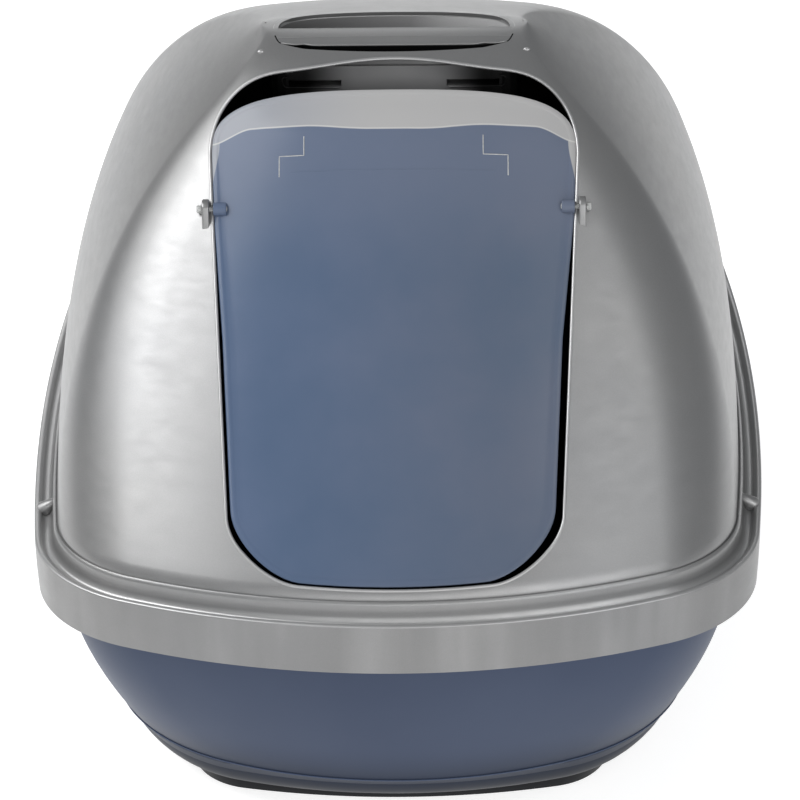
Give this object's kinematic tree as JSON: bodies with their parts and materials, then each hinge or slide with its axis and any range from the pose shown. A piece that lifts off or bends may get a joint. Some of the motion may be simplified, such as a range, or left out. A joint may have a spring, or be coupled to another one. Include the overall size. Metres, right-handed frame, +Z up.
{
  "type": "hooded cat litter box",
  "caption": "Hooded cat litter box: oval base tray, domed hood with rolled rim, carry handle and filter housing, and a clear swinging entrance flap.",
  "frame": {"origin": "on the floor, under the middle of the rim's outline, at the bottom centre of the bounding box", "axes": "+Z up; the entrance faces -Y; +X is to the right for someone looking at the entrance from the front"},
  "size_m": [0.4926, 0.6566, 0.465],
  "materials": {
    "tray_plastic": "glossy moulded plastic, dark blue grey",
    "hood_plastic": "satin silver grey moulded plastic with a faint metallic fleck",
    "flap_clear": "polished smoked blue transparent plastic",
    "pin_plastic": "natural translucent plastic",
    "housing_plastic": "plain moulded grey plastic",
    "filter_foam": "black activated carbon foam"
  },
  "bodies": {
    "tray": {"base_tray": "tray_plastic"},
    "hood": {"hood": "hood_plastic", "hinge_pin_left": "pin_plastic", "hinge_pin_right": "pin_plastic"},
    "flap": {"flap": "flap_clear"},
    "filter_unit": {"filter_housing": "housing_plastic", "carbon_filter": "filter_foam", "filter_cover": "housing_plastic"}
  },
  "joints": [
    {"name": "hood_lift", "type": "slide", "parent": "tray", "child": "hood", "axis": [0, 0, 1], "range_m": [0, 0.15]},
    {"name": "flap_hinge", "type": "hinge", "parent": "hood", "child": "flap", "pos_m": [0, -0.13, 0.385], "axis": [1, 0, 0], "range_deg": [-90, 110]},
    {"name": "filter_release", "type": "slide", "parent": "hood", "child": "filter_unit", "axis": [0, 0, -1], "range_m": [0, 0.06]}
  ]
}
